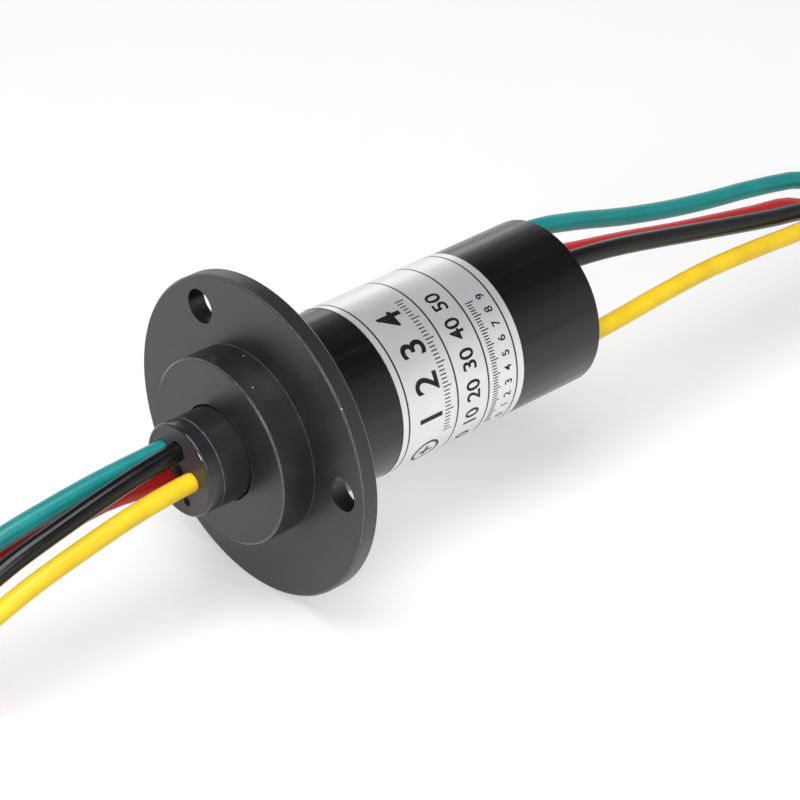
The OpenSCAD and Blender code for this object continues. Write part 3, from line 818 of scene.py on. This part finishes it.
class SLIPRING_OT_studio(bpy.types.Operator):
    """Set up the camera, the pale floor and the soft lights"""

    bl_idname = "slipring.studio"
    bl_label = "Studio"

    # Name, place, the point that it faces, width and height, and power in watts
    LAMPS = (
        ("Overhead softbox", (-0.12, -0.06, 0.6), (0.02, 0, 0), (0.42, 0.42), 3.1),
        ("Left softbox", (-0.64, -0.12, 0.2), (0, 0, 0), (0.1, 0.16), 1.1),
        ("Back panel", (0.42, 0.56, 0.16), (0, 0, 0), (0.6, 0.16), 0.32),
        ("Front softbox", (-0.25, -0.62, 0.45), (0.03, 0, 0), (0.6, 0.5), 2.2),
    )

    def execute(self, context):
        studio = context.scene.slipring_studio
        self.camera(context, studio)
        self.floor(studio)
        self.lamps()
        self.world(context)
        context.scene.view_settings.view_transform = "Standard"
        return {"FINISHED"}

    @staticmethod
    def camera(context, studio):
        """The camera at the settings' place."""
        data = bpy.data.cameras.new("Camera")
        data.lens = studio.lens
        data.sensor_width = 36
        data.clip_start = 0.01
        camera = join_scene("Camera", data)
        camera.location = studio.camera_place
        camera.rotation_euler = (studio.tilt, 0, studio.heading)
        context.scene.camera = camera

    @staticmethod
    def floor(studio):
        """A pale floor at the object's lowest point."""
        level = CAD_BOX[0][2]
        mesh = bpy.data.meshes.new("Floor")
        reach = 3.0
        corners = [(x * reach, y * reach, level) for x, y in ((-1, -1), (1, -1), (1, 1), (-1, 1))]
        mesh.from_pydata(corners, [], [(0, 1, 2, 3)])
        floor = join_scene("Floor", mesh)
        material, desk, shader = new_material("Studio floor")
        paper = desk.noise(desk.object_place(), 30, detail=5)
        hue = desk.mix(
            desk.fade(paper, 0.3, 0.7), tone(studio.floor, 0.99), solid_colour(studio.floor))
        light = desk.add("ShaderNodeLightPath").outputs
        seen = desk.plus(light["Is Camera Ray"], light["Is Glossy Ray"])
        seen = desk.plus(seen, light["Is Transmission Ray"], clamp=True)
        set_shader(desk, shader, {
            "Base Color": hue, "Roughness": 0.75, "Specular IOR Level": 0.2,
            "Emission Color": (1, 1, 1, 1),
            "Emission Strength": desk.times(seen, studio.floor_glow)})
        mesh.materials.append(material)

    @staticmethod
    def lamps():
        """The soft lamps, each turned to the point that it faces."""
        for name, place, aim, size, power in SLIPRING_OT_studio.LAMPS:
            data = bpy.data.lights.new(name, "AREA")
            data.shape = "RECTANGLE"
            data.size, data.size_y = size
            data.energy = power
            lamp = join_scene(name, data)
            lamp.location = place
            facing = Vector(aim) - Vector(place)
            lamp.rotation_euler = facing.to_track_quat("-Z", "Y").to_euler()

    @staticmethod
    def world(context):
        """White where the camera sees it, and walls that light the sides of the object."""
        world = bpy.data.worlds.new("Studio")
        world.use_nodes = True
        world.node_tree.nodes.clear()
        desk = Desk(world.node_tree)
        light = desk.add("ShaderNodeLightPath").outputs
        way = desk.out("Generated", "ShaderNodeTexCoord")
        height = desk.out("Z", "ShaderNodeSeparateXYZ", {"Vector": way})
        walls = desk.fade(height, 0.2, 0.75, 0.74, 0.06)  # pale walls, dim above
        strength = desk.math("MAXIMUM", light["Is Camera Ray"], walls)
        sky = desk.out("Background", "ShaderNodeBackground", {
            "Color": (1, 1, 1, 1), "Strength": strength})
        desk.add("ShaderNodeOutputWorld", {"Surface": sky})
        context.scene.world = world


class SLIPRING_OT_leads(bpy.types.Operator):
    """Lay the eight leads at their real length, with bare ends and tied coils"""

    bl_idname = "slipring.leads"
    bl_label = "Leads"

    def execute(self, context):
        leads = context.scene.slipring_leads
        skins = {c: lead_skin(f"{c.title()} insulation", getattr(leads, c), roughness)
                 for c, roughness in COLOURS.items()}
        tinned = turned_metal("Tinned copper", (0.72, 0.71, 0.68), 0.28)
        tape = moulded_plastic("Coil tape", (0.6, 0.6, 0.58), 0.45, dust=0.0)
        strands = strand_tree()
        for end, spec in ENDS.items():
            for c in COLOURS:
                points = lead_path(end, c, leads)
                name = f"{end}_{c}_lead"
                curve = lead_curve(name, points, leads.diameter)
                made = piece(name, curve, spec["body"], skins[c])
                coil = [f"{end}_coil"] if c == "green" else []
                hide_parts(f"{end}_lead_{c}", *coil)
                name = f"{end}_{c}_tip"
                mesh = grown(name, tip_line(points, leads.bare_length), strands,
                             strands=leads.strands, conductor_radius=leads.conductor / 2,
                             lay_turns=leads.lay_turns, material=tinned)
                with_pieces = [piece(name, mesh, spec["body"], tinned)]
                if c == "green":
                    name = f"{end}_coil_tie"
                    mesh = tie_mesh(name, end, leads)
                    with_pieces.append(piece(name, mesh, spec["body"], tape))
                exit_place = Vector(spec["routes"][c][0]) * MM
                exit_place.x = spec["mouth"] * MM
        return {"FINISHED"}


class SLIPRING_OT_shells(bpy.types.Operator):
    """Finish the front cover, the barrel and the rear cap"""

    bl_idname = "slipring.shells"
    bl_label = "Shells"

    def execute(self, context):
        shells = context.scene.slipring_shells
        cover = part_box("front_cover")
        rim = cover[1].z / MM
        boss_face = cover[0].x / MM
        angles = [math.radians(FIRST_HOLE + 360 / HOLES * k) for k in range(HOLES)]
        holes = [(HOLE_CIRCLE * math.cos(a), HOLE_CIRCLE * math.sin(a), HOLE_RADIUS)
                 for a in angles]
        edges = [
            (FLANGE_FACE + BEVEL_MIDDLE, rim - BEVEL_MIDDLE, 0.22),
            (FLANGE_BACK - BEVEL_MIDDLE, rim - BEVEL_MIDDLE, 0.22),
            (boss_face + BEVEL_MIDDLE, BOSS_RADIUS - BEVEL_MIDDLE, 0.22),
            (FLANGE_FACE, BOSS_RADIUS, 0.16),
            (boss_face, MOUTH_RADIUS, 0.16),
        ]
        # The fixing holes get painted shade, and the edges a line that is partly wear and partly
        # painted highlight
        paint(["front_cover"], moulded_plastic(
            "Cover plastic", shells.cover, 0.38, grain=5200, bump=0.1, dust=0.16, gloss=0.72,
            holes=holes, edges=edges))
        paint(["barrel"], self.barrel_finish(shells))
        paint(["rear_cap"], moulded_plastic("Rear cap resin", shells.cap, 0.5))
        return {"FINISHED"}

    @staticmethod
    def barrel_finish(shells):
        """Satin extruded tube with faint streaks along it."""
        material, desk, shader = new_material("Barrel plastic")
        place = desk.object_place()
        streaks = desk.effect("drawn_streaks", vector=place, scale=700)
        surface = desk.effect("fine_grain", vector=place, scale=5200)
        specks = desk.effect("dust_specks", vector=place, scale=330, size=0.07, share=0.04)
        hue = desk.mix(desk.fade(surface["Mottle"], 0.35, 0.65),
                       tone(shells.barrel, 0.85), tone(shells.barrel, 1.15))
        hue = desk.mix(specks["Mask"], hue, solid_colour(shells.dust))
        rough = desk.fade(streaks["Mask"], 0, 1, 0.2, 0.34)
        height = desk.plus(streaks["Height"], desk.times(surface["Height"], 0.2))
        set_shader(desk, shader, {
            "Base Color": hue, "Roughness": rough, "Specular IOR Level": 0.5,
            "Normal": desk.bump(height, 0.14, 0.0001)})
        return material


class SLIPRING_OT_nub(bpy.types.Operator):
    """Finish the rotor's nub, its collar and the end plug"""

    bl_idname = "slipring.nub"
    bl_label = "Nub"

    def execute(self, context):
        shells = context.scene.slipring_shells
        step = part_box("shaft_collar")[0].x / MM + NUB_STEP
        # The line at the nub's step is lightened, partly as wear and partly as a painted highlight
        paint(["rotor_shaft"], moulded_plastic(
            "Nub plastic", shells.nub, 0.24, grain=2600, bump=0.2, dust=0.08,
            edges=[(step, NUB_RADIUS, 0.18)]))
        paint(["shaft_collar"], moulded_plastic(
            "Collar plastic", shells.nub, 0.16, grain=2600, bump=0.08, dust=0.05, gloss=0.6,
            edges=[(step, NUB_RADIUS, 0.12)]))
        paint(["lead_plug"], moulded_plastic(
            "Plug plastic", shells.plug, 0.4, grain=1400, bump=0.25, gloss=0.36))
        paint(["nub_potting"], moulded_plastic("Potting resin", (0.012, 0.012, 0.012), 0.3))
        return {"FINISHED"}


class SLIPRING_OT_label(bpy.types.Operator):
    """Finish the label and lay its rules, plain numbers and ticks"""

    bl_idname = "slipring.label"
    bl_label = "Label"

    # Rows of numbers: height, baseline along the axis, and where each starts round the barrel
    ROWS = (
        (4.9, 28.4, {"1": 187, "2": 163.5, "3": 140, "4": 116.5}),
        (2.9, 36.9, {"0": 219, "10": 204, "20": 183, "30": 162, "40": 141, "50": 120}),
        (1.6, 44.2, {
            "0": 213.5, "1": 202.6, "2": 193.2, "3": 183.2, "4": 173.2, "5": 163.2, "6": 153.2,
            "7": 143.2, "8": 133.2, "9": 123.2}),
    )
    # Scales: name, ticks, every how many is longer, place and length along the axis, angles
    SCALES = (
        ("label_ticks_large", 37, 6, 29.2, 1.2, 196, 100),
        ("label_ticks_small", 46, 5, 40.0, 1.1, 212, 122),
    )
    MARK = (5.6, 211, 26.6)  # width, angle and place along the axis of the round mark
    RULES = (0.048, 0.446, 0.703, 0.942)  # places of the rules, as shares of the label's width

    def execute(self, context):
        label = context.scene.slipring_label
        paint(["rating_label"], self.film(label))
        ink = self.ink(label)
        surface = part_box("rating_label")[1].z
        print_shape = bmesh.new()
        for height, baseline, row in self.ROWS:
            for text, start in row.items():
                number = number_mesh(text, height * MM, label.ink_height)
                wrap(number, surface, math.radians(start), baseline * MM)
                print_shape.from_mesh(number)
                bpy.data.meshes.remove(number)
        mesh = bpy.data.meshes.new("label_numbers")
        print_shape.to_mesh(mesh)
        print_shape.free()
        piece("label_numbers", mesh, "stator", ink)
        width, start, along = self.MARK
        mesh = mark_mesh("label_mark", width * MM, label.rule * 1.6, label.ink_height)
        wrap(mesh, surface, math.radians(start), along * MM)
        piece("label_mark", mesh, "stator", ink)
        ticks = tick_tree()
        for name, count, longer, along, length, first, last in self.SCALES:
            mesh = grown(name, bpy.data.meshes.new(name), ticks, count=count, longer_every=longer,
                         along=along * MM, length=length * MM, width=label.rule * 0.6,
                         radius=surface, height=label.ink_height, start=math.radians(first),
                         sweep=math.radians(last - first), material=ink)
            piece(name, mesh, "stator", ink)
        return {"FINISHED"}

    @staticmethod
    def film(label):
        """Silver film with printed rules round it."""
        low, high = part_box("rating_label")
        material, desk, shader = new_material("Label film")
        place = desk.object_place()
        axial = desk.effect("axial_place", vector=place)
        rules = 0.0
        width = high.x - low.x
        inked, bare = label.rule * 0.42, label.rule * 0.58  # a soft edge to each rule
        for share in SLIPRING_OT_label.RULES:
            gap = desk.math("ABSOLUTE", desk.minus(axial["Along"], low.x + share * width))
            rules = desk.plus(rules, desk.fade(gap, inked, bare, 1, 0), clamp=True)
        surface = desk.effect("fine_grain", vector=place, scale=3000)
        film = desk.mix(desk.fade(surface["Mottle"], 0.3, 0.7),
                        tone(label.film, 0.97), tone(label.film, 1.03))
        set_shader(desk, shader, {
            "Base Color": desk.mix(rules, film, solid_colour(label.ink)),
            "Metallic": desk.fade(rules, 0, 1, 0.62, 0.0),
            "Roughness": desk.fade(surface["Mottle"], 0.3, 0.7, 0.3, 0.38),
            "Normal": desk.bump(surface["Height"], 0.06, 0.00005)})
        return material

    @staticmethod
    def ink(label):
        """Printed ink, a little thinner here and there."""
        material, desk, shader = new_material("Label ink")
        place = desk.object_place()
        surface = desk.effect("fine_grain", vector=place, scale=6000)
        thin = desk.fade(desk.noise(place, 1800, detail=3), 0.5, 0.75)
        set_shader(desk, shader, {
            "Base Color": desk.mix(thin, solid_colour(label.ink), tone(label.ink, 4.0)),
            "Roughness": desk.fade(surface["Mottle"], 0.3, 0.7, 0.38, 0.5),
            "Specular IOR Level": 0.3,
            "Normal": desk.bump(surface["Height"], 0.08, 0.00002)})
        return material


class SLIPRING_OT_works(bpy.types.Operator):
    """Finish the bearings, contact rings, brushes and boards inside"""

    bl_idname = "slipring.works"
    bl_label = "Inner works"

    # Kind of finish, its name, colour and roughness, and the nodes that take it
    FINISHES = (
        (turned_metal, "Bearing steel", (0.62, 0.62, 0.63), 0.22, [
            "front_bearing_outer", "front_bearing_inner", "front_bearing_balls",
            "rear_bearing_outer", "rear_bearing_inner", "rear_bearing_balls"]),
        (turned_metal, "Shield steel", (0.42, 0.42, 0.43), 0.35, [
            "front_bearing_shields", "rear_bearing_shields", "preload_washer",
            "cover_circlip", "shaft_circlip"]),
        (turned_metal, "Cage brass", (0.72, 0.5, 0.2), 0.3, [
            "front_bearing_cage", "rear_bearing_cage"]),
        (turned_metal, "Ring gold", (0.9, 0.64, 0.22), 0.2, [
            "contact_ring_1", "contact_ring_2", "contact_ring_3", "contact_ring_4"]),
        (turned_metal, "Brush gold", (0.82, 0.6, 0.28), 0.25, ["upper_brushes", "lower_brushes"]),
        (turned_metal, "Nut aluminium", (0.7, 0.7, 0.71), 0.3, ["stack_nut"]),
        (moulded_plastic, "Barrier plastic", (0.72, 0.7, 0.62), 0.4, [
            "barrier_1", "barrier_2", "barrier_3", "barrier_4", "barrier_5",
            "stack_spacer", "front_board_ring", "rear_board_ring"]),
        (moulded_plastic, "Board laminate", (0.02, 0.14, 0.05), 0.3, [
            "upper_brush_board", "lower_brush_board"]),
        (lead_skin, "Inner insulation", (0.1, 0.1, 0.1), 0.4, [
            "rotor_inner_leads", "stator_inner_leads"]),
    )

    def execute(self, context):
        for finish, name, base, roughness, nodes in self.FINISHES:
            paint(nodes, finish(name, base, roughness))
        return {"FINISHED"}


class SLIPRING_PT_dresser(bpy.types.Panel):
    """Lists the steps and their settings"""

    bl_idname = "SLIPRING_PT_dresser"
    bl_label = "Slip Ring"
    bl_space_type = "VIEW_3D"
    bl_region_type = "UI"
    bl_category = "Slip Ring"

    def draw(self, context):
        for operator in OPERATORS:
            self.layout.operator(operator.bl_idname)
        for name, settings in SETTINGS.items():
            box = self.layout.box()
            box.label(text=settings.__doc__)
            for key in settings.__annotations__:
                box.prop(getattr(context.scene, name), key)


OPERATORS = (
    SLIPRING_OT_studio,
    SLIPRING_OT_leads,
    SLIPRING_OT_shells,
    SLIPRING_OT_nub,
    SLIPRING_OT_label,
    SLIPRING_OT_works,
)
CLASSES = (*SETTINGS.values(), *OPERATORS, SLIPRING_PT_dresser)


def register():
    for cls in CLASSES:
        bpy.utils.register_class(cls)
    for name, settings in SETTINGS.items():
        setattr(bpy.types.Scene, name, PointerProperty(type=settings))


def unregister():
    for name in SETTINGS:
        delattr(bpy.types.Scene, name)
    for cls in reversed(CLASSES):
        bpy.utils.unregister_class(cls)


def main():
    register()
    bpy.ops.slipring.studio()
    bpy.ops.slipring.leads()
    bpy.ops.slipring.shells()
    bpy.ops.slipring.nub()
    bpy.ops.slipring.label()
    bpy.ops.slipring.works()


if __name__ == "__main__":
    main()
